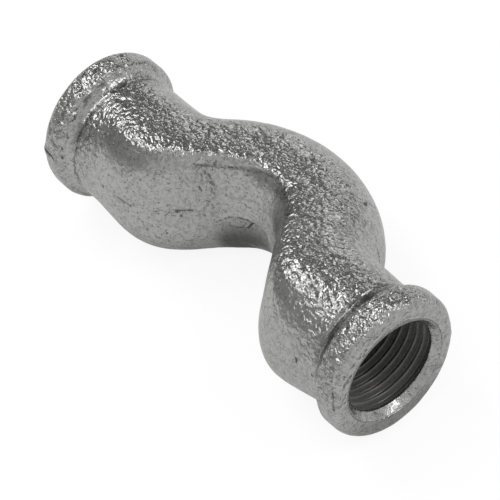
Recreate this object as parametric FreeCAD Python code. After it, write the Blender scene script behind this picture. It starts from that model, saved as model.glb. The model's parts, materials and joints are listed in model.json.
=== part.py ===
import FreeCAD, Part
import math
import os

# Pipe crossover fitting: one hollow casting whose two threaded sockets share an axis and whose
# middle arches over a second pipe. It is drawn flat, with X along the run, Y towards the arch and
# Z across the parting plane, and is then laid down on its bands and the side of the arch.
# Lengths are in millimetres and angles in degrees.

# Run
overall_length = 85.0

# Socket thread, half inch parallel, bored to its crests
thread_crest_radius = 9.316
thread_length = 15.0
mouth_radius = 10.52
mouth_depth = 1.4

# Band round each mouth, a little flatter across the parting plane; its foot bites into the neck
band_width = 6.4
band_half_height = 15.2
band_half_breadth = 14.0
band_lip_round = 2.2
band_back_share = 0.78
band_bite = 0.15

# Line of the casting: arch bend, straight leg, socket bend
arch_rise = 14.2
bend_angle = 47.8
arch_bend_radius = 15.2
socket_bend_radius = 17.0

# Half sizes of the section, from the centreline to the side by the crossing pipe, to the back of
# the arch and to the top: at the top of the arch, at both ends of the leg, at the knee where the
# leg turns into the socket, and at the neck behind the band
arch_inside = 9.1
arch_outside = 10.9
arch_half_height = 11.6
leg_top_inside = 8.0
leg_foot_inside = 7.2
knee_inside = 12.0
knee_outside = 11.9
knee_half_height = 13.7
knee_share_of_bend = 0.74
knee_run_out = 1.5
neck_half_height = 13.0

# Squareness of the side of the section that faces the crossing pipe, at the top of the arch and
# at the foot of the leg: 2 is an ellipse
arch_squareness = 2.7
leg_squareness = 3.7

# Waterway
wall = 3.0
waterway_radius = 8.6

# Spacing of the sections along the centreline, and steps round half of one
section_pitch = 3.0
half_section_steps = 14

# Rounds of the search for the tilt at rest, and places along the body that it looks at
tilt_steps = 40

half_length = overall_length / 2.0
turn = math.radians(bend_angle)
arch_arc = arch_bend_radius * turn
socket_arc = socket_bend_radius * turn
leg_length = (arch_rise - (arch_bend_radius + socket_bend_radius) * (1.0 - math.cos(turn))) / math.sin(turn)
bend_reach = (arch_bend_radius + socket_bend_radius) * math.sin(turn) + leg_length * math.cos(turn)
socket_start = arch_arc + leg_length + socket_arc
half_run = socket_start + half_length - bend_reach
leg_end = arch_arc + leg_length
knee = leg_end + knee_share_of_bend * socket_arc
neck = half_run - band_width
flatness = band_half_breadth / band_half_height
neck_half_breadth = neck_half_height * flatness


def centreline(distance):
    # Place and heading of the centreline, at a distance along it from the top of the arch
    s = abs(distance)
    if s <= arch_arc:
        heading = s / arch_bend_radius
        x = arch_bend_radius * math.sin(heading)
        y = arch_rise - arch_bend_radius * (1.0 - math.cos(heading))
    elif s <= leg_end:
        heading = turn
        down = s - arch_arc
        x = arch_bend_radius * math.sin(turn) + down * math.cos(turn)
        y = arch_rise - arch_bend_radius * (1.0 - math.cos(turn)) - down * math.sin(turn)
    elif s <= socket_start:
        heading = (socket_start - s) / socket_bend_radius
        x = bend_reach - socket_bend_radius * math.sin(heading)
        y = socket_bend_radius * (1.0 - math.cos(heading))
    else:
        heading = 0.0
        x = bend_reach + s - socket_start
        y = 0.0
    side = -1.0 if distance < 0.0 else 1.0
    return side * x, y, side * heading


def along(distance, stations):
    # Smooth value at a distance from the top of the arch, through (distance, value) stations
    s = abs(distance)
    if s >= stations[-1][0]:
        return stations[-1][1]
    k = max(n for n in range(len(stations)) if stations[n][0] <= s)
    mirrored = [(-stations[1][0], stations[1][1])] + stations + [stations[-1]]
    before, start, end, after = mirrored[k:k + 4]
    span = end[0] - start[0]
    leave = (end[1] - before[1]) / (end[0] - before[0]) * span
    arrive = (after[1] - start[1]) / (after[0] - start[0]) * span
    t = (s - start[0]) / span
    rise = t * t * (3.0 - 2.0 * t)
    return start[1] + (end[1] - start[1]) * rise + leave * t * (1.0 - t) ** 2 - arrive * t * t * (1.0 - t)


def half_sizes(distance):
    # Half sizes of the section towards the crossing pipe, to the back and up, and its squareness
    inside = along(distance, [(0.0, arch_inside), (arch_arc, leg_top_inside), (leg_end, leg_foot_inside),
                              (knee, knee_inside), (socket_start + knee_run_out, neck_half_breadth)])
    outside = along(distance, [(0.0, arch_outside), (knee, knee_outside), (neck, neck_half_breadth)])
    height = along(distance, [(0.0, arch_half_height), (knee, knee_half_height), (neck, neck_half_height)])
    squareness = along(distance, [(0.0, arch_squareness), (leg_end, leg_squareness), (socket_start, 2.0)])
    return inside, outside, height, squareness


def half_section(distance, sizes, side):
    # Points round one half of the section square to the centreline, above or below the parting
    # plane, at even angles from the back of the arch to the side by the crossing pipe
    x, y, heading = centreline(distance)
    inside, outside, height, squareness = sizes
    outward = FreeCAD.Vector(math.sin(heading), math.cos(heading), 0.0)
    upward = FreeCAD.Vector(0.0, 0.0, side)
    points = []
    for k in range(half_section_steps + 1):
        across = math.cos(math.pi * k / half_section_steps)
        up = math.sin(math.pi * k / half_section_steps)
        breadth, power = (outside, 2.0) if across > 0.0 else (inside, squareness)
        radius = ((abs(across) / breadth) ** power + (abs(up) / height) ** power) ** (-1.0 / power)
        points.append(FreeCAD.Vector(x, y, 0.0) + outward * (radius * across) + upward * (radius * up))
    return points


def tube(reach, sizes):
    # Solid of an upper and a lower skin through the sections, closed by a flat face at each end
    steps = math.ceil(reach / section_pitch)
    distances = [reach * k / steps for k in range(-steps, steps + 1)]
    faces = []
    for side in (1.0, -1.0):
        skin = Part.BSplineSurface()
        skin.interpolate([half_section(distance, sizes(distance), side) for distance in distances])
        faces.append(skin.toShape())
    for end in (-reach, reach):
        x, y, heading = centreline(end)
        centre = FreeCAD.Vector(x, y, 0.0)
        onward = FreeCAD.Vector(math.cos(heading), -math.sin(heading), 0.0)
        rim = [edge for face in faces[:2] for edge in face.Edges
               if all(abs((vertex.Point - centre).dot(onward)) < 1e-6 for vertex in edge.Vertexes)]
        faces.append(Part.Face(Part.Wire(rim)))
    shell = Part.makeShell(faces)
    shell.sewShape()
    return Part.Solid(shell)


def waterway_sizes(distance):
    # The passage keeps its own bore, and gives way to the wall where the casting is pinched
    inside, outside, height, squareness = half_sizes(distance)
    return (min(inside - wall, waterway_radius), min(outside - wall, waterway_radius),
            min(height - wall, waterway_radius), squareness)


def band():
    # Bead round the right mouth: a rounded lip, a flat crown and a back that rolls down to the neck
    back_round = band_back_share * (band_half_height - neck_half_height)
    root = neck_half_height - band_bite
    foot_round = band_half_height - back_round - root
    crown_end = band_width - back_round
    foot_end = band_width + foot_round

    def at(back, radius):
        return FreeCAD.Vector(half_length - back, radius, 0.0)

    def arc(start, centre, end):
        middle = (start + end) * 0.5 - centre
        middle.normalize()
        return Part.Arc(start, centre + middle * (start - centre).Length, end).toShape()

    def line(start, end):
        return Part.LineSegment(start, end).toShape()

    lip_start = at(0.0, band_half_height - band_lip_round)
    lip_end = at(band_lip_round, band_half_height)
    back_end = at(band_width, band_half_height - back_round)
    foot = at(foot_end, root)
    edges = [
        line(at(0.0, 0.0), lip_start),
        arc(lip_start, at(band_lip_round, band_half_height - band_lip_round), lip_end),
        line(lip_end, at(crown_end, band_half_height)),
        arc(at(crown_end, band_half_height), at(crown_end, band_half_height - back_round), back_end),
        arc(back_end, at(foot_end, root + foot_round), foot),
        line(foot, at(foot_end, 0.0)),
        line(at(foot_end, 0.0), at(0.0, 0.0)),
    ]
    bead = Part.Face(Part.Wire(edges)).revolve(FreeCAD.Vector(0, 0, 0), FreeCAD.Vector(1, 0, 0), 360.0)
    flatten = FreeCAD.Matrix()
    flatten.scale(1.0, flatness, 1.0)
    return bead.transformGeometry(flatten)


def socket_core():
    # Thread bore of the right mouth with its flared lead-in
    along_run = FreeCAD.Vector(1, 0, 0)
    bottom = FreeCAD.Vector(half_length - thread_length, 0, 0)
    bore = Part.makeCylinder(thread_crest_radius, thread_length, bottom, along_run)
    flare_start = FreeCAD.Vector(half_length - mouth_depth, 0, 0)
    flare = Part.makeCone(thread_crest_radius, mouth_radius, mouth_depth, flare_start, along_run)
    return bore.fuse(flare)


def both_ends(shape):
    return [shape, shape.mirror(FreeCAD.Vector(0, 0, 0), FreeCAD.Vector(1, 0, 0))]


def oval_reach(half_breadth, half_height, angle):
    # How far an ellipse reaches along a line at an angle from its height
    return math.hypot(half_breadth * math.sin(angle), half_height * math.cos(angle))


def sag(distance, tilt):
    # How far the section at a distance along the centreline reaches below the axis of the run
    x, y, heading = centreline(distance)
    inside, outside, height, squareness = half_sizes(distance)
    return y * math.sin(tilt) + oval_reach(outside * math.cos(heading), height, tilt)


def resting_tilt():
    # Turn about the run that brings the arch down to the level of the bands
    tilt = 0.0
    for step in range(tilt_steps):
        lift = oval_reach(band_half_breadth, band_half_height, tilt)
        lowest = max(sag(neck * k / tilt_steps, tilt) for k in range(tilt_steps))
        tilt += (lift - lowest) / arch_rise
    return tilt


def laid_down(shape):
    # On its bands and the side of the arch, with the middle of its footprint at the origin
    tilt = resting_tilt()
    floor = oval_reach(band_half_breadth, band_half_height, tilt)
    near = -oval_reach(band_half_height, band_half_breadth, tilt)
    far = arch_rise * math.cos(tilt) + oval_reach(arch_half_height, arch_outside, tilt)
    shape.rotate(FreeCAD.Vector(0, 0, 0), FreeCAD.Vector(1, 0, 0), -math.degrees(tilt))
    shape.translate(FreeCAD.Vector(0, -(near + far) / 2.0, floor))
    return shape


outside_body = tube(half_run - band_width / 2.0, half_sizes).fuse(both_ends(band()))
waterway = tube(half_run - thread_length / 2.0, waterway_sizes)
casting = outside_body.cut(both_ends(socket_core()) + [waterway])
casting = laid_down(casting.removeSplitter())

os.makedirs("parts", exist_ok=True)
casting.exportStep("parts/crossover_body.step")
box = casting.optimalBoundingBox(False)
print("solids", len(casting.Solids), "valid", casting.isValid(), "volume", round(casting.Volume, 1))
print("tilt", round(math.degrees(resting_tilt()), 4))
print("box", [round(v, 3) for v in (box.XMin, box.YMin, box.ZMin, box.XMax, box.YMax, box.ZMax)])
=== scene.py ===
import bpy
import bmesh
import json
import math
from mathutils import Matrix, Vector, noise


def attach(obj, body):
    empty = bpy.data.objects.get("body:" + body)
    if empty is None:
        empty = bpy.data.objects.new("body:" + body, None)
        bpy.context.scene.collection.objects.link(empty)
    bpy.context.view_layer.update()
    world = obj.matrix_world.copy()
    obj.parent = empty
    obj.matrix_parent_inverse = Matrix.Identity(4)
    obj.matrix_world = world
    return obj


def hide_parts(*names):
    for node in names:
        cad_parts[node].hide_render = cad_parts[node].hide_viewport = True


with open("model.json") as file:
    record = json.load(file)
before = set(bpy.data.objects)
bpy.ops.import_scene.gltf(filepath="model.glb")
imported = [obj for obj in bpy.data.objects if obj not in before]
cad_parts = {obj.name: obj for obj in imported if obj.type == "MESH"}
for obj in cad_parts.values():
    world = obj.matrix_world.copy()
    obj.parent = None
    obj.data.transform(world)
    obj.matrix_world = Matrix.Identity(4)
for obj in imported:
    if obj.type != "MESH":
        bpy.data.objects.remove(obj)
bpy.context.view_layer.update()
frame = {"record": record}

mm = 0.001

# The casting drawn flat, in millimetres and degrees: X along the run, Y towards the arch and
# Z across the parting plane. The side of a section that faces the crossing pipe has its own
# squareness, where 2 is an ellipse; at the knees and at the arch's upper edge some is added.
casting = {
    "length": 85.0,
    "archRise": 14.2,
    "bendAngle": 47.8,
    "archBendRadius": 15.2,
    "socketBendRadius": 17.0,
    "archInside": 9.1,
    "archOutside": 10.9,
    "archHalfHeight": 11.6,
    "legTopInside": 8.0,
    "legFootInside": 7.2,
    "kneeInside": 12.0,
    "kneeOutside": 11.9,
    "kneeHalfHeight": 13.7,
    "kneeShareOfBend": 0.74,
    "kneeRunOut": 1.5,
    "neckHalfHeight": 13.0,
    "neckSquareness": 2.0,
    "archSquareness": 2.7,
    "legSquareness": 3.7,
    "kneeSquareness": 0.9,
    "kneeSquarenessAt": 27,
    "kneeSquarenessReach": 5,
    "edgeSquareness": 2.0,
    "edgeSquarenessAt": -4,
    "edgeSquarenessReach": 12,
    "blendReach": 2.0,
    "wall": 3.0,
    "waterwayRadius": 8.6,
}

band = {
    "width": 6.4,
    "halfHeight": 15.2,
    "halfBreadth": 14.0,
    "lipRound": 2.2,
    "crownAt": 4.3,
    "footAt": 7.7,
}

socket = {
    "crestRadius": 9.316,
    "rootRadius": 10.478,
    "pitch": 1.814,
    "length": 15.0,
    "mouthRadius": 10.52,
    "mouthDepth": 1.4,
    "fullThreadAt": 2.2,  # in depths of the mouth
    "grooveSharpness": 1.2,
    "runOut": 3.0,
}

mesh = {
    "around": 176,
    "bodyStep": 0.42,
    "bandBackStep": 0.28,
    "waterwayStep": 1.5,
    "lipSteps": 10,
    "ringsPerPitch": 11,
    "tiltSteps": 40,
    "weld": 0.001,
}


def fineness(span, step):
    return max(1, math.ceil(span / step))


class Line:
    # lengths along the centreline of the casting, from the top of the arch
    turn = math.radians(casting["bendAngle"])
    archArc = casting["archBendRadius"] * turn
    bends = casting["archBendRadius"] + casting["socketBendRadius"]
    leg = (casting["archRise"] - bends * (1 - math.cos(turn))) / math.sin(turn)
    reach = bends * math.sin(turn) + leg * math.cos(turn)  # along the run, to the straight socket
    legEnd = archArc + leg
    socketArc = casting["socketBendRadius"] * turn
    socketStart = legEnd + socketArc
    halfRun = socketStart + casting["length"] / 2 - reach
    knee = legEnd + casting["kneeShareOfBend"] * socketArc
    neck = halfRun - band["width"]
    flatness = band["halfBreadth"] / band["halfHeight"]
    neckHalfBreadth = casting["neckHalfHeight"] * flatness


# The real casting isn't quite even: swellings and hollows of its form, as place along the line,
# angle round the section, height in millimetres, and reach along and round
leans = [
    (-29.5, 220, -0.95, 2.6, 30),
    (-35.0, 217, -0.4, 2.5, 30),
    (-20.5, 53, -0.55, 4.5, 35),
    (26.2, 197, 1.2, 2.0, 28),
    (22.8, 145, -1.0, 1.5, 22),
    (35.0, 219, 0.45, 4.0, 35),
    (13.0, 356, 0.6, 3.5, 30),
    (-10.0, 131, -0.4, 9.0, 9),
    (-9.0, 118, 0.3, 8.0, 8),
]

# Below the parting line the side by the crossing pipe is set back, from a crease down; depths
# and the crease's height are by distance along the run from the middle, both ways
setBack = {
    "middle": -4.0,
    "depths": [(0, 0.8), (4.0, 0.9), (8.0, 0.5), (12.0, 0.0)],
    "crease": [(0, -1.2), (2.3, -1.35), (3.5, -1.9), (5.2, -3.4), (7.0, -3.7)],
    "edge": 0.45,
}


def centreAt(s):
    # place and heading on the centreline, at a distance from the top of the arch; left is negative
    archRadius = casting["archBendRadius"]
    socketRadius = casting["socketBendRadius"]
    turn = Line.turn
    far = abs(s)
    down = far - Line.archArc
    if down <= 0:
        heading = far / archRadius
        x = archRadius * math.sin(heading)
        y = casting["archRise"] - archRadius * (1 - math.cos(heading))
    elif far <= Line.legEnd:
        heading = turn
        x = archRadius * math.sin(turn) + down * math.cos(turn)
        y = casting["archRise"] - archRadius * (1 - math.cos(turn)) - down * math.sin(turn)
    elif far <= Line.socketStart:
        heading = (Line.socketStart - far) / socketRadius
        x = Line.reach - socketRadius * math.sin(heading)
        y = socketRadius * (1 - math.cos(heading))
    else:
        heading = 0.0
        x = Line.reach + far - Line.socketStart
        y = 0.0
    side = math.copysign(1, s)
    return side * x, y, side * heading


def eased(value, low, high):
    # 0 up to low, 1 from high on, smooth between
    t = max(0.0, min(1.0, (value - low) / (high - low)))
    return t * t * (3 - 2 * t)


def bell(off, reach):
    # 1 in the middle, fading to both sides
    return math.exp(-0.5 * (off / reach) ** 2)


def valueAt(s, stations):
    # smooth value through (distance, value) stations, the same on both sides of the first
    s = abs(s)
    if s >= stations[-1][0]:
        return stations[-1][1]
    k = max(n for n in range(len(stations)) if stations[n][0] <= s)
    mirrored = [(-stations[1][0], stations[1][1])] + stations + [stations[-1]]
    before, start, end, after = mirrored[k:k + 4]
    span = end[0] - start[0]
    leave = (end[1] - before[1]) / (end[0] - before[0]) * span
    arrive = (after[1] - start[1]) / (after[0] - start[0]) * span
    t = (s - start[0]) / span
    rise = t * t * (3 - 2 * t)
    straight = start[1] + (end[1] - start[1]) * rise
    return straight + leave * t * (1 - t) ** 2 - arrive * t * t * (1 - t)


def halfSizes(s):
    # half sizes of a section towards the crossing pipe, to the back and up, and its squareness
    c = casting
    inside = valueAt(s, [
        (0, c["archInside"]),
        (Line.archArc, c["legTopInside"]),
        (Line.legEnd, c["legFootInside"]),
        (Line.knee, c["kneeInside"]),
        (Line.socketStart + c["kneeRunOut"], Line.neckHalfBreadth),
    ])
    outside = valueAt(s, [
        (0, c["archOutside"]),
        (Line.knee, c["kneeOutside"]),
        (Line.neck, Line.neckHalfBreadth),
    ])
    height = valueAt(s, [
        (0, c["archHalfHeight"]),
        (Line.knee, c["kneeHalfHeight"]),
        (Line.neck, c["neckHalfHeight"]),
    ])
    power = valueAt(s, [
        (0, c["archSquareness"]),
        (Line.legEnd, c["legSquareness"]),
        (Line.socketStart, c["neckSquareness"]),
    ])
    power += c["kneeSquareness"] * bell(abs(s) - c["kneeSquarenessAt"], c["kneeSquarenessReach"])
    return inside, outside, height, power


def waterwaySizes(s):
    # the passage keeps its own bore, and gives way to the wall where the casting is pinched
    inside, outside, height, power = halfSizes(s)
    wall, passage = casting["wall"], casting["waterwayRadius"]
    inside, outside, height = (min(size - wall, passage) for size in (inside, outside, height))
    return inside, outside, height, power


def leansAt(s):
    # how far the leans push a ring out, by the angle round it; past four reaches nothing is left
    near = [lean for lean in leans if abs(s - lean[0]) < 4 * lean[3]]
    pushes = [(middle, height * bell(s - place, reach), spread)
              for place, middle, height, reach, spread in near]

    def at(angle):
        turned = math.degrees(angle)
        return sum(push * bell((turned - middle + 180) % 360 - 180, spread)
                   for middle, push, spread in pushes)
    return at


def sectionRing(s, sizes, uneven):
    # ring square to the centreline, where angle 0 is the back of the arch; uneven is 1 with the
    # leans, the set-back and the sharper edge of this casting, and 0 without
    x, y, heading = centreAt(s)
    inside, outside, height, power = sizes(s)
    depth = valueAt(x - setBack["middle"], setBack["depths"]) * uneven
    crease = valueAt(x - setBack["middle"], setBack["crease"])
    fromEdge = bell(s - casting["edgeSquarenessAt"], casting["edgeSquarenessReach"])
    sharper = casting["edgeSquareness"] * fromEdge * uneven
    leaning = leansAt(s)

    def place(angle):
        across, up = math.cos(angle), math.sin(angle)
        breadth, n = (outside, 2.0) if across > 0 else (inside, power + sharper * (up > 0))
        radius = ((abs(across) / breadth) ** n + (abs(up) / height) ** n) ** (-1 / n)
        radius += leaning(angle) * uneven
        out = radius * across
        if across < 0:
            out += depth * eased(crease - radius * up, 0, setBack["edge"]) * -across
        return Vector((x + out * math.sin(heading), y + out * math.cos(heading), radius * up))
    return place


def smoothRing(s):
    # the section blended with those before and after it, so that the bends run into each other
    reach = casting["blendReach"]
    rings = [sectionRing(s + step, halfSizes, 1) for step in (-reach, 0, 0, reach)]

    def place(angle):
        return sum((ring(angle) for ring in rings), Vector()) / len(rings)
    return place


def straightRing(back, radiusAt):
    # ring square to the run, at a distance back from the face of the right mouth
    x = casting["length"] / 2 - back

    def place(angle):
        radius = radiusAt(angle)
        return Vector((x, radius * math.cos(angle), radius * math.sin(angle)))
    return place


def oval(angle):
    # the flattened round of bands and necks, 1 high
    return 1 / math.hypot(math.cos(angle) / Line.flatness, math.sin(angle))


def bandRings():
    # from the foot of the band's back, over its crown, to the edge of the lip
    b = band
    neck = casting["neckHalfHeight"]
    rise = b["halfHeight"] - neck
    profile = []
    steps = fineness(b["footAt"] - b["crownAt"], mesh["bandBackStep"])
    for k in range(steps + 1):
        share = k / steps
        back = b["footAt"] + (b["crownAt"] - b["footAt"]) * share
        profile.append((back, neck + rise * eased(share, 0, 1)))
    steps = fineness(b["crownAt"] - b["lipRound"], mesh["bodyStep"])
    for k in range(1, steps + 1):
        back = b["crownAt"] + (b["lipRound"] - b["crownAt"]) * k / steps
        profile.append((back, b["halfHeight"]))
    for k in range(1, mesh["lipSteps"] + 1):
        a = math.pi / 2 * k / mesh["lipSteps"]
        back = b["lipRound"] * (1 - math.sin(a))
        profile.append((back, b["halfHeight"] - b["lipRound"] * (1 - math.cos(a))))
    return [straightRing(back, lambda angle, size=radius: size * oval(angle))
            for back, radius in profile]


def faceRings():
    # the flat face, from the oval edge of the lip in to the round mouth
    outer = band["halfHeight"] - band["lipRound"]
    inner = socket["mouthRadius"]
    steps = fineness(outer - inner, mesh["bodyStep"])
    return [straightRing(0, lambda angle, t=k / steps: (outer * (1 - t)) * oval(angle) + inner * t)
            for k in range(1, steps)]


def threadRings():
    # the flare and the thread, which runs in behind the flare and out at the bottom
    s = socket
    depth = s["rootRadius"] - s["crestRadius"]
    step = s["pitch"] / mesh["ringsPerPitch"]
    count = round(s["length"] / step)

    def radiusAt(back):
        flare = (s["mouthRadius"] - s["crestRadius"]) * min(1.0, back / s["mouthDepth"])
        runOut = min(1.0, (s["length"] - back) / s["runOut"])
        fade = runOut * eased(back, s["mouthDepth"], s["mouthDepth"] * s["fullThreadAt"])

        def at(angle):
            phase = (back / s["pitch"] + angle / (2 * math.pi)) % 1.0
            groove = math.sin(math.pi * phase) ** s["grooveSharpness"]
            return max(s["mouthRadius"] - flare, s["crestRadius"] + depth * fade * groove)
        return at

    backs = [s["length"] * k / count for k in range(count + 1)]
    return [straightRing(back, radiusAt(back)) for back in backs]


def onLeft(ring):
    # the same ring at the other end, turned about Y, which keeps the hand of the thread
    def place(angle):
        x, y, z = ring(-angle)
        return Vector((-x, y, -z))
    return place


def skinRings():
    # from the edge of the left mouth over the whole body to the edge of the right one
    foot = Line.halfRun - band["footAt"]
    steps = fineness(foot, mesh["bodyStep"])
    body = [smoothRing(foot * k / steps) for k in range(1 - steps, steps)]
    end = bandRings() + faceRings()
    return [onLeft(ring) for ring in reversed(end)] + body + end


def boreRings():
    # back from the right mouth through its thread, the waterway and the left thread
    thread = threadRings()
    end = Line.halfRun - socket["length"]
    steps = fineness(end, mesh["waterwayStep"])
    leftward = range(steps, -steps - 1, -1)
    waterway = [sectionRing(end * k / steps, waterwaySizes, 0) for k in leftward]
    return thread + waterway + [onLeft(ring) for ring in reversed(thread)]


def ovalReach(halfBreadth, halfHeight, angle):
    # how far an ellipse reaches along a line at an angle from its height
    return math.hypot(halfBreadth * math.sin(angle), halfHeight * math.cos(angle))


def sag(s, tilt):
    # how far a section reaches below the run's axis
    _, y, heading = centreAt(s)
    _, outside, height, _ = halfSizes(s)
    return y * math.sin(tilt) + ovalReach(outside * math.cos(heading), height, tilt)


def restingTilt():
    # turn about the run that brings the arch down to the level of the bands
    tilt = 0.0
    steps = mesh["tiltSteps"]
    for _ in range(steps):
        lift = ovalReach(band["halfBreadth"], band["halfHeight"], tilt)
        lowest = max(sag(Line.neck * k / steps, tilt) for k in range(steps))
        tilt += (lift - lowest) / casting["archRise"]
    return tilt


# from the flat drawing to the fitting at rest: the run's axis is the axis of the socket mounts
runAxis = frame["record"]["mounts"][0]["pos_m"]
lifted = Matrix.Translation((0, runAxis[1], runAxis[2]))
layDown = lifted @ Matrix.Rotation(-restingTilt(), 4, "X") @ Matrix.Scale(mm, 4)


# Unevenness of the cast skin, in millimetres: wave length and depth of each noise, all inward
skin = {
    "inset": 0.012,
    "waves": [(7.0, 0.10), (2.6, 0.07), (1.3, 0.045)],
}


# Flaws of this casting, and streaks of painted shade, in the flat drawing: from, to, half width,
# depth and how dark they are
flawsAndShade = [
    ((-15.0, -7.1, -0.6), (-13.2, -4.9, -0.3), 0.60, 0.25, 0.4),
    ((-13.2, -4.9, -0.3), (-11.3, -2.5, -0.2), 0.60, 0.25, 0.6),
    ((-12.9, -4.7, -0.4), (-12.4, -3.9, -1.8), 0.55, 0.15, 0.7),
    ((-19.6, -10.2, -0.5), (-15.0, -7.1, -0.6), 0.45, 0.10, 0.55),
    ((-23.0, -11.6, 0.2), (-19.6, -10.0, -0.8), 0.60, 0.15, 0.6),
    ((13.9, 17.0, 8.9), (14.0, 17.4, 8.6), 0.80, 0.30, 1.0),
    ((13.7, 17.9, 8.3), (13.5, 20.5, 4.9), 0.50, 0.12, 0.7),
    ((21.6, 13.6, 5.1), (22.8, 13.1, 3.3), 0.60, 0.18, 0.8),
    ((30.2, -12.0, 0.8), (30.2, -12.0, 0.2), 0.70, 0.20, 1.0),
    ((40.9, -13.0, 4.9), (41.6, -13.3, 2.0), 0.50, 0.15, 0.7),
    ((41.6, -13.3, 2.0), (41.8, -13.1, -2.1), 0.60, 0.20, 0.8),
    ((42.3, -11.3, 5.7), (42.3, -11.4, 5.2), 0.45, 0.10, 0.8),
    ((42.4, -11.5, 4.0), (42.4, -11.6, 3.5), 0.45, 0.10, 0.8),
    ((34.5, -12.0, 0.3), (34.4, -12.0, 0.0), 0.50, 0.15, 0.9),
    ((31.7, -12.0, 0.2), (31.5, -12.0, 0.1), 0.50, 0.15, 0.9),
    ((-41.0, -14.0, 0.6), (-38.7, -13.9, -0.4), 0.65, 0.20, 0.9),
    ((-36.9, -12.9, 3.1), (-36.9, -12.9, 2.7), 0.50, 0.15, 0.9),
    ((-36.8, -13.1, 1.1), (-36.8, -13.1, 0.6), 0.50, 0.15, 0.9),
    ((-35.6, -12.0, 0.4), (-34.5, -11.9, 0.3), 0.45, 0.12, 0.8),
    ((-26.3, -11.6, 0.5), (-26.1, -11.6, 0.1), 0.60, 0.20, 0.9),
    # painted shade: a dark patch on the left band's crown and a dark streak along the upper inner
    # edge of the arch, where the zinc mirrors the dark room; they dent the skin only a little
    ((-39.3, -9.7, 10.9), (-38.6, -11.4, 8.5), 1.80, 0.04, 0.5),
    ((-16.0, -5.2, 10.3), (-11.1, -0.8, 10.1), 1.20, 0.08, 0.5),
    ((-11.1, -0.8, 10.1), (-7.4, 3.2, 9.9), 1.20, 0.08, 0.5),
    ((-7.4, 3.2, 9.9), (-3.6, 6.0, 10.3), 1.20, 0.08, 0.5),
    ((-3.6, 6.0, 10.3), (0.3, 7.4, 10.6), 1.10, 0.08, 0.5),
    ((0.3, 7.4, 10.6), (4.7, 6.8, 11.2), 1.00, 0.08, 0.4),
    ((-41.0, -14.0, 0.3), (-41.6, -14.0, 0.3), 1.70, -0.30, 0.0),
    ((40.0, 14.0, 0.0), (40.8, 14.0, 0.0), 1.70, -0.30, 0.0),
]

# Painted shade in the smooth hollow under the crease and a painted shadow line along the crease,
# in the flat drawing; a pair is where an effect starts and where it is full
hollow = {
    "halfLength": 7,
    "lowY": -5,
    "highY": 9,
    "end": 6.8,
    "endFade": 3.0,
    "edge": (0, 0.5),
    "dark": 0.25,
    "addedDark": 0.65,
    "deeper": (0.5, 6),
    "lineDark": 0.5,
    "lineAt": 0.1,
    "lineHalfWidth": 0.62,
    "lineFade": 0.5,
    "lineEnd": 6.4,
    "lineEndFade": 2,
}

# Painted shade on the upper side of the right band's groove and on the underside; and where the
# zinc is calm, with less relief: the bands' grooves, the side by the crossing pipe and the back;
# in millimetres and shares of the normal
shadeAndCalm = {
    "grooveFromFoot": 0.8,
    "grooveHalfWidth": 1.6,
    "grooveFade": 1.2,
    "grooveShade": 0.45,
    "grooveShadeRight": (0, 1),
    "grooveShadeUp": (0, 0.5),
    # painted shade, darker towards the bottom of the skin
    "under": 0.4,
    "underDepth": (5, 12),
    "innerSide": (0.5, 0.72),
    "innerEnd": 32,
    "innerEndFade": 6,
    "innerWilder": 0.4,
    "innerWilderRight": (14, 22),
    "backCalm": 0.7,
    "backSide": (0.35, 0.85),
    "grooveCalm": 0.8,
}


def flawsAndShadeAt(place):
    # depth of the flaws at a place, and how dark it is there, with the painted shade streaks
    depth = stainAndShade = 0.0
    for start, end, width, dent, dark in flawsAndShade:
        start = Vector(start)
        run = Vector(end) - start
        if (place - start).length > run.length + width:
            continue
        along = max(0.0, min(1.0, (place - start).dot(run) / run.length_squared))
        share = eased(width - (place - (start + run * along)).length, 0, width)
        depth += dent * share
        stainAndShade = max(stainAndShade, dark * share)
    return depth, stainAndShade


def dented(place):
    # depth of the cast skin's unevenness at a place
    depth = skin["inset"]
    for length, height in skin["waves"]:
        wave = noise.noise(place / length + Vector((length, 0, 0)))
        depth += height * (0.5 + 0.5 * max(-1.0, min(1.0, wave)))
    return depth


def underCrease(place):
    # painted shade in the smooth hollow under the crease, and a painted shadow line along the
    # crease itself
    h = hollow
    along = abs(place.x - setBack["middle"])
    if along > h["halfLength"] or not h["lowY"] < place.y < h["highY"]:
        return 0.0, 0.0
    below = valueAt(along, setBack["crease"]) - place.z
    dark = h["dark"] + h["addedDark"] * eased(below, *h["deeper"])
    shade = eased(h["end"] - along, 0, h["endFade"]) * eased(below, *h["edge"]) * dark
    # painted shadow line along the crease, under the edge above it
    line = h["lineDark"] * eased(h["lineHalfWidth"] - abs(below - h["lineAt"]), 0, h["lineFade"])
    return shade, line * eased(h["lineEnd"] - along, 0, h["lineEndFade"])


def castBody():
    # one closed strip of rings: out along the skin and back through the bore
    bm = bmesh.new()
    rings = skinRings()
    skinCount = len(rings)
    rings += boreRings()
    rings.append(rings[0])
    steps = len(rings) - 1
    bmesh.ops.create_grid(bm, x_segments=steps, y_segments=mesh["around"], size=0.5)
    onSkin = bm.verts.layers.int.new("skin")
    for vert in bm.verts:
        ring = round((vert.co.x + 0.5) * steps)
        vert[onSkin] = ring < skinCount
        vert.co = rings[ring]((vert.co.y + 0.5) * 2 * math.pi)
    bmesh.ops.remove_doubles(bm, verts=bm.verts, dist=mesh["weld"])
    bmesh.ops.recalc_face_normals(bm, faces=bm.faces)
    bm.normal_update()
    return bm


def calmAt(place, normal, groove):
    # 1 where the zinc lies smooth
    w = shadeAndCalm
    inner = eased(-normal.y, *w["innerSide"])
    inner *= eased(w["innerEnd"] - abs(place.x), 0, w["innerEndFade"])
    inner *= 1 - w["innerWilder"] * eased(place.x, *w["innerWilderRight"])
    return max(groove * w["grooveCalm"], inner, w["backCalm"] * eased(normal.y, *w["backSide"]))


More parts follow.
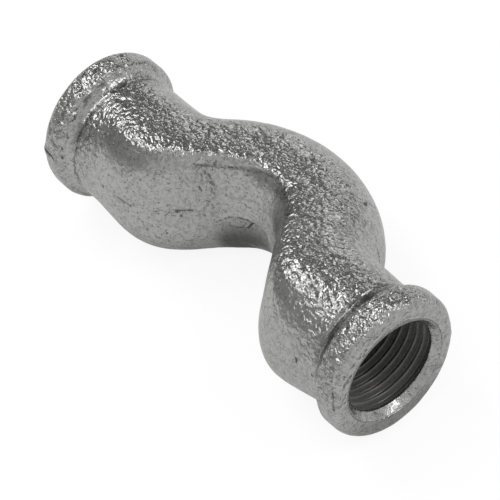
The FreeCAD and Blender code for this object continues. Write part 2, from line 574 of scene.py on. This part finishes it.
def shadeStainAndDentSkin(bm):
    # writes what the material reads at each vertex: stains with painted shade streaks and a
    # painted shadow line, painted shade, and calm; and dents the skin inward
    w = shadeAndCalm
    stainAndShadeLayer = bm.verts.layers.float.new("stainAndShade")
    shades = bm.verts.layers.float.new("shade")
    calm = bm.verts.layers.float.new("calm")
    onSkin = bm.verts.layers.int["skin"]
    grooveAt = casting["length"] / 2 - band["footAt"] + w["grooveFromFoot"]
    for vert in bm.verts:
        if not vert[onSkin]:
            vert[calm] = 1
            continue
        place, normal = vert.co, vert.normal
        depth, stainAndShade = flawsAndShadeAt(place)
        shade, line = underCrease(place)
        groove = eased(w["grooveHalfWidth"] - abs(abs(place.x) - grooveAt), 0, w["grooveFade"])
        # painted shade on the upper side of the groove behind the right band
        grooveShade = w["grooveShade"] * groove * eased(place.x, *w["grooveShadeRight"])
        grooveShade *= eased(normal.z, *w["grooveShadeUp"])
        # flaw stains, with the painted shade streaks and the painted shadow line along the crease
        vert[stainAndShadeLayer] = max(stainAndShade, line)
        # painted shade: darker towards the bottom, in the hollow under the crease and in the right
        # band's groove
        vert[shades] = max(w["under"] * eased(-place.z, *w["underDepth"]), shade, grooveShade)
        vert[calm] = calmAt(place, normal, groove)
        vert.co = place - normal * (depth + dented(place))


def finished(bm, name):
    # a smooth-shaded object at the origin
    data = bpy.data.meshes.new(name)
    bm.to_mesh(data)
    bm.free()
    piece = bpy.data.objects.new(name, data)
    bpy.context.scene.collection.objects.link(piece)
    data.shade_smooth()
    return piece


body = castBody()
shadeStainAndDentSkin(body)
bmesh.ops.transform(body, matrix=layDown, verts=body.verts)
crossover = finished(body, "crossover_casting")
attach(crossover, "root")
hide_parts("crossover_body")
print("casting", len(crossover.data.polygons), "faces")

# The photograph's view of the flat drawing, fitted to its outline: degrees and millimetres, and
# the focal length in pixels of the picture
camera = {
    "azimuth": 51.373,
    "elevation": 43.637,
    "roll": 0.074,
    "distance": 535.22,
    "focal": 2976.047,
    "pictureWidth": 500,
    "right": -1.514,
    "up": 2.139,
    "tilt": -0.111,
    "sensorWidth": 36,
    "clipStart": 0.01,
    "clipEnd": 10,
}


def placeCamera():
    # found in the flat drawing's frame, and laid down with the fitting
    a, e, roll = (math.radians(camera[k]) for k in ("azimuth", "elevation", "roll"))
    back = Vector((math.sin(a) * math.cos(e), -math.cos(a) * math.cos(e), math.sin(e)))
    level = Vector((math.cos(a), math.sin(a), 0))
    upright = back.cross(level)
    right = level * math.cos(roll) + upright * math.sin(roll)
    up = upright * math.cos(roll) - level * math.sin(roll)
    spot = back * camera["distance"] - right * camera["right"] - up * camera["up"]
    turn = Matrix((right, up, back)).transposed().to_4x4()
    pose = Matrix.Translation(spot) @ turn
    pose = layDown @ Matrix.Rotation(-math.radians(camera["tilt"]), 4, "X") @ pose
    place, turned, _ = pose.decompose()
    data = bpy.data.cameras.new("camera")
    data.sensor_width = camera["sensorWidth"]
    data.lens = camera["focal"] / camera["pictureWidth"] * camera["sensorWidth"]
    data.clip_start = camera["clipStart"]
    data.clip_end = camera["clipEnd"]
    eye = bpy.data.objects.new("camera", data)
    bpy.context.scene.collection.objects.link(eye)
    eye.location = place
    eye.rotation_mode = "QUATERNION"
    eye.rotation_quaternion = turned
    bpy.context.scene.camera = eye
    print("camera", round(data.lens, 1), "mm lens")


placeCamera()


class Value:
    # an output socket with plain arithmetic
    def __init__(self, shader, socket):
        self.shader = shader
        self.socket = socket

    def __add__(self, other):
        return self.shader.maths("ADD", self, other)

    def __radd__(self, other):
        return self.shader.maths("ADD", other, self)

    def __sub__(self, other):
        return self.shader.maths("SUBTRACT", self, other)

    def __rsub__(self, other):
        return self.shader.maths("SUBTRACT", other, self)

    def __mul__(self, other):
        return self.shader.maths("MULTIPLY", self, other)

    def __rmul__(self, other):
        return self.shader.maths("MULTIPLY", other, self)

    def above(self, low, high):
        # 0 below low, 1 above high, smooth between; falls instead where low is the larger
        inputs = {"Value": self, "From Min": low, "From Max": high}
        settings = {"interpolation_type": "SMOOTHSTEP"}
        return self.shader.result("ShaderNodeMapRange", settings, inputs)


class Shader:
    # the nodes of one material or world
    def __init__(self, owner):
        owner.use_nodes = True
        self.tree = owner.node_tree

    def add(self, kind, settings=None, inputs=None):
        # settings come first, because they can change which sockets a node shows
        node = self.tree.nodes.new(kind)
        for name, setting in (settings or {}).items():
            setattr(node, name, setting)
        self.fill(node, inputs or {})
        return node

    def fill(self, node, inputs):
        # links and numbers into a node's sockets, by name or by place
        for name, item in inputs.items():
            if isinstance(item, Value):
                self.tree.links.new(item.socket, node.inputs[name])
            else:
                node.inputs[name].default_value = item

    def value(self, node, output=0):
        return Value(self, node.outputs[output])

    def result(self, kind, settings=None, inputs=None, output=0):
        # the output of a new node
        return self.value(self.add(kind, settings, inputs), output)

    def maths(self, operation, *items):
        return self.result("ShaderNodeMath", {"operation": operation}, dict(enumerate(items)))

    def vector(self, operation, inputs, output="Vector"):
        return self.result("ShaderNodeVectorMath", {"operation": operation}, inputs, output)

    def noise(self, place, scale, detail, roughness, output="Fac"):
        inputs = {"Vector": place, "Scale": scale, "Detail": detail, "Roughness": roughness}
        return self.result("ShaderNodeTexNoise", None, inputs, output)

    def cells(self, place, scale, feature="F1"):
        inputs = {"Vector": place, "Scale": scale}
        return self.result("ShaderNodeTexVoronoi", {"feature": feature}, inputs, "Distance")

    def attribute(self, name):
        return self.result("ShaderNodeAttribute", {"attribute_name": name}, output="Fac")

    def blend(self, share, first, second):
        # sockets 6 and 7 of a Mix node are its two colours, and output 2 is the mixed one
        inputs = {"Factor": share, 6: first, 7: second}
        return self.result("ShaderNodeMix", {"data_type": "RGBA"}, inputs, 2)


# Hot-dip zinc over cast iron. A noise is given by its scale per millimetre, detail and roughness,
# a mask by the limits where it starts and where it is full, and relief by its millimetres.
galvanised = {
    "zinc": (0.46, 0.46, 0.455, 1),
    "zincDull": (0.36, 0.36, 0.355, 1),
    # dark colour of the pits, the flaw stains and the painted shade streaks
    "pitAndShade": (0.10, 0.10, 0.095, 1),
    "thread": (0.16, 0.16, 0.148, 1),
    # colour of the painted shade
    "shade": (0.08, 0.08, 0.077, 1),
    "speck": (0.12, 0.12, 0.115, 1),
    "wander": (0.7, 2.0, 0.5),
    "wanderBy": 0.9,
    "crinkle": (1.3, 1.0, 0.4),
    "crinkleHeight": 0.3,
    "patch": (0.35, 3.0, 0.55),
    "patchLimits": (0.3, 0.65),
    "patchAdds": 0.7,
    "leastCrinkle": 0.5,
    "grain": (4.0, 2.0, 0.5),
    "grainHeight": 0.03,
    "boreGrainHeight": 0.012,
    "facetScale": 0.95,
    "facetHeight": 0.17,
    "lumps": (0.55, 2.0, 0.5),
    "lumpHeight": 0.5,
    "bandLumpHeight": 0.6,
    "bandFrom": (34.0, 37.0),
    "calmed": 0.75,
    "pitScale": 1.1,
    "pitLimits": (0.2, 0.1),
    "pitGroups": (0.5, 1.0, 0.5),
    "pitGroupLimits": (0.45, 0.6),
    "pitDepth": 0.03,
    "pitShows": 0.8,
    "dull": (1.1, 4.0, 0.65),
    "dullLimits": (0.42, 0.66),
    "specks": (1.9, 2.0, 0.65),
    "speckLimits": (0.57, 0.66),
    "speckShows": 0.3,
    "speckShowsCalm": 0.4,
    "stainAndShadeEdge": (2.2, 2.0, 0.5),
    "stainAndShadeWander": 0.5,
    "stainAndShadeLimits": (0.25, 0.6),
    "stainAndShadeShows": 0.85,
    "boreStart": 0.5,
    "boreEdge": (0.12, 0.02),
    "boreFullAt": 1.7,  # in depths of the mouth
    "boreMetalLess": 0.85,
    "roughness": 0.21,
    "dullRoughness": 0.14,
    "pitRoughness": 0.25,
    "stainAndShadeRoughness": 0.3,
    "boreRoughness": 0.05,
}


def boreMask(shader, place, alongRun):
    # 1 on the threads: inside the mouth's radius, round the run's axis, and behind the flare
    g = galvanised
    offset = shader.vector("SUBTRACT", {0: place, 1: (0, runAxis[1] / mm, runAxis[2] / mm)})
    across = shader.vector("MULTIPLY", {0: offset, 1: (0, 1, 1)})
    spread = shader.vector("LENGTH", {0: across}, "Value")
    outer, inner = (socket["mouthRadius"] + edge for edge in g["boreEdge"])
    halfLength, depth = casting["length"] / 2, socket["mouthDepth"]
    inSocket = alongRun.above(Line.reach, Line.reach + g["boreStart"])
    behindFlare = alongRun.above(halfLength - depth, halfLength - depth * g["boreFullAt"])
    return spread.above(outer, inner) * inSocket * behindFlare


def galvanisedIron():
    g = galvanised
    metal = bpy.data.materials.new("galvanised iron")
    shader = Shader(metal)
    coords = shader.result("ShaderNodeTexCoord", output="Object")
    place = shader.vector("SCALE", {0: coords, "Scale": 1 / mm})
    x = shader.result("ShaderNodeSeparateXYZ", None, {"Vector": place}, "X")
    alongRun = shader.maths("ABSOLUTE", x)
    bore = boreMask(shader, place, alongRun)
    outside = 1 - bore

    # patterns run on coordinates that wander a little
    cloud = shader.noise(place, *g["wander"], "Color")
    wander = shader.vector("SUBTRACT", {0: cloud, 1: (0.5, 0.5, 0.5)})
    shift = shader.vector("SCALE", {0: wander, "Scale": g["wanderBy"]})
    bent = shader.vector("ADD", {0: place, 1: shift})

    # relief of the zinc: crinkles, facets and lumps where it froze wild, and a fine grain
    calm = shader.attribute("calm")
    wild = 1 - calm * g["calmed"]
    patches = shader.noise(place, *g["patch"]).above(*g["patchLimits"])
    strength = patches * g["patchAdds"] + g["leastCrinkle"]
    crinkle = shader.noise(bent, *g["crinkle"])
    grain = shader.noise(place, *g["grain"])
    facets = shader.cells(bent, g["facetScale"], "SMOOTH_F1")
    lumps = shader.noise(place, *g["lumps"])
    onBand = alongRun.above(*g["bandFrom"])
    pitGroups = shader.noise(place, *g["pitGroups"]).above(*g["pitGroupLimits"])
    pits = shader.cells(bent, g["pitScale"]).above(*g["pitLimits"]) * pitGroups
    height = crinkle * g["crinkleHeight"] * strength * wild
    height = height + grain * g["grainHeight"] - pits * g["pitDepth"]
    height = height + facets * g["facetHeight"] * wild
    height = height + lumps * (onBand * g["bandLumpHeight"] + g["lumpHeight"]) * wild
    height = height * outside + grain * g["boreGrainHeight"] * bore
    relief = {"Height": height, "Distance": mm, "Strength": 1.0}

    # colour and gloss: dull zinc, specks, painted shade, pits, stains with painted shade streaks
    # and a painted shadow line, and the bare thread
    dull = shader.noise(bent, *g["dull"]).above(*g["dullLimits"])
    specks = shader.noise(bent, *g["specks"]).above(*g["speckLimits"])
    speckShows = calm * g["speckShowsCalm"] + g["speckShows"]
    ragged = (shader.noise(place, *g["stainAndShadeEdge"]) - 0.5) * g["stainAndShadeWander"]
    stainAndShade = (shader.attribute("stainAndShade") + ragged).above(*g["stainAndShadeLimits"])
    colour = shader.blend(dull, g["zinc"], g["zincDull"])
    colour = shader.blend(specks * speckShows, colour, g["speck"])
    # painted shade: the underside, the hollow under the crease and the right band's groove
    colour = shader.blend(shader.attribute("shade"), colour, g["shade"])
    colour = shader.blend(pits * g["pitShows"], colour, g["pitAndShade"])
    # flaw stains, with painted shade streaks and the painted shadow line along the crease
    colour = shader.blend(stainAndShade * g["stainAndShadeShows"], colour, g["pitAndShade"])
    colour = shader.blend(bore, colour, g["thread"])
    roughness = g["roughness"] + dull * g["dullRoughness"] + pits * g["pitRoughness"]
    roughness = roughness + stainAndShade * g["stainAndShadeRoughness"] + bore * g["boreRoughness"]
    shader.fill(metal.node_tree.nodes["Principled BSDF"], {
        "Base Color": colour,
        "Metallic": 1 - bore * g["boreMetalLess"],
        "Roughness": roughness,
        "Normal": shader.result("ShaderNodeBump", None, relief),
    })
    print("zinc", len(metal.node_tree.nodes), "nodes")
    return metal


crossover.data.materials.append(galvanisedIron())

# Lamps in metres, all aimed at the casting: place, width and height, and the radiance that a
# mirror would show
softboxAim = (0, 0, 0.01)
softboxes = {
    "left": ((-0.352, -0.03, 0.495), (0.27, 0.4), 3.3),
    "front": ((0.0, -0.254, 0.554), (0.25, 0.25), 2.6),
    "right": ((0.315, 0.315, 0.412), (0.25, 0.25), 2.9),
    "back": ((-0.285, 0.494, 0.195), (0.25, 0.25), 1.5),
}


def softbox(name, place, size, radiance):
    data = bpy.data.lights.new(name, "AREA")
    data.shape = "RECTANGLE"
    data.size, data.size_y = size
    data.energy = radiance * math.pi * size[0] * size[1]
    lamp = bpy.data.objects.new(name, data)
    bpy.context.scene.collection.objects.link(lamp)
    lamp.location = place
    lamp.rotation_mode = "QUATERNION"
    lamp.rotation_quaternion = (Vector(place) - Vector(softboxAim)).to_track_quat("Z", "Y")


for name, (place, size, radiance) in softboxes.items():
    softbox(name, place, size, radiance)

# The room that the zinc mirrors: dark, with a pale wall to the right and a fainter one in front;
# the camera sees white. Limits are shares of the direction.
studio = {
    "dark": (0.16, 0.16, 0.16, 1),
    "pale": (0.65, 0.65, 0.65, 1),
    "seen": (1, 1, 1, 1),
    "rightLimits": (0.0, 0.6),
    "frontLimits": (-0.2, -0.8),
    "frontShare": 0.4,
}


def studioWorld():
    world = bpy.data.worlds.new("studio")
    bpy.context.scene.world = world
    shader = Shader(world)
    direction = shader.result("ShaderNodeTexCoord", output="Generated")
    parts = shader.add("ShaderNodeSeparateXYZ", None, {"Vector": direction})
    right = shader.value(parts, "X").above(*studio["rightLimits"])
    front = shader.value(parts, "Y").above(*studio["frontLimits"]) * studio["frontShare"]
    seen = shader.result("ShaderNodeLightPath", output="Is Camera Ray")
    colour = shader.blend(shader.maths("MAXIMUM", right, front), studio["dark"], studio["pale"])
    colour = shader.blend(seen, colour, studio["seen"])
    shader.fill(world.node_tree.nodes["Background"], {"Color": colour})


studioWorld()
print("studio", len(softboxes), "softboxes")

# A pale floor that glows a little for the camera and for mirrored rays, and keeps the shadow
ground = {
    "halfSize": 3.0,
    "paint": (0.9, 0.9, 0.9, 1),
    "glow": (1, 1, 1, 1),
    "glowStrength": 1.1,
    "cameraShare": 0.8,
    "mirrorShare": 0.26,
}
floorMesh = bmesh.new()
bmesh.ops.create_grid(floorMesh, x_segments=1, y_segments=1, size=ground["halfSize"])
floor = finished(floorMesh, "floor")


def paleFloor():
    g = ground
    pale = bpy.data.materials.new("pale floor")
    shader = Shader(pale)
    path = shader.add("ShaderNodeLightPath")
    seen = shader.value(path, "Is Camera Ray") * g["cameraShare"]
    mirrored = shader.value(path, "Is Glossy Ray") * g["mirrorShare"]
    light = {"Color": g["glow"], "Strength": g["glowStrength"]}
    glow = shader.result("ShaderNodeEmission", None, light)
    paint = shader.result("ShaderNodeBsdfDiffuse", None, {"Color": g["paint"]})
    mixed = shader.result("ShaderNodeMixShader", None, {"Fac": seen + mirrored, 1: paint, 2: glow})
    shader.fill(pale.node_tree.nodes["Material Output"], {"Surface": mixed})
    return pale


floor.data.materials.append(paleFloor())
print("floor", 2 * ground["halfSize"], "m wide")

bpy.context.scene.view_settings.view_transform = "Standard"
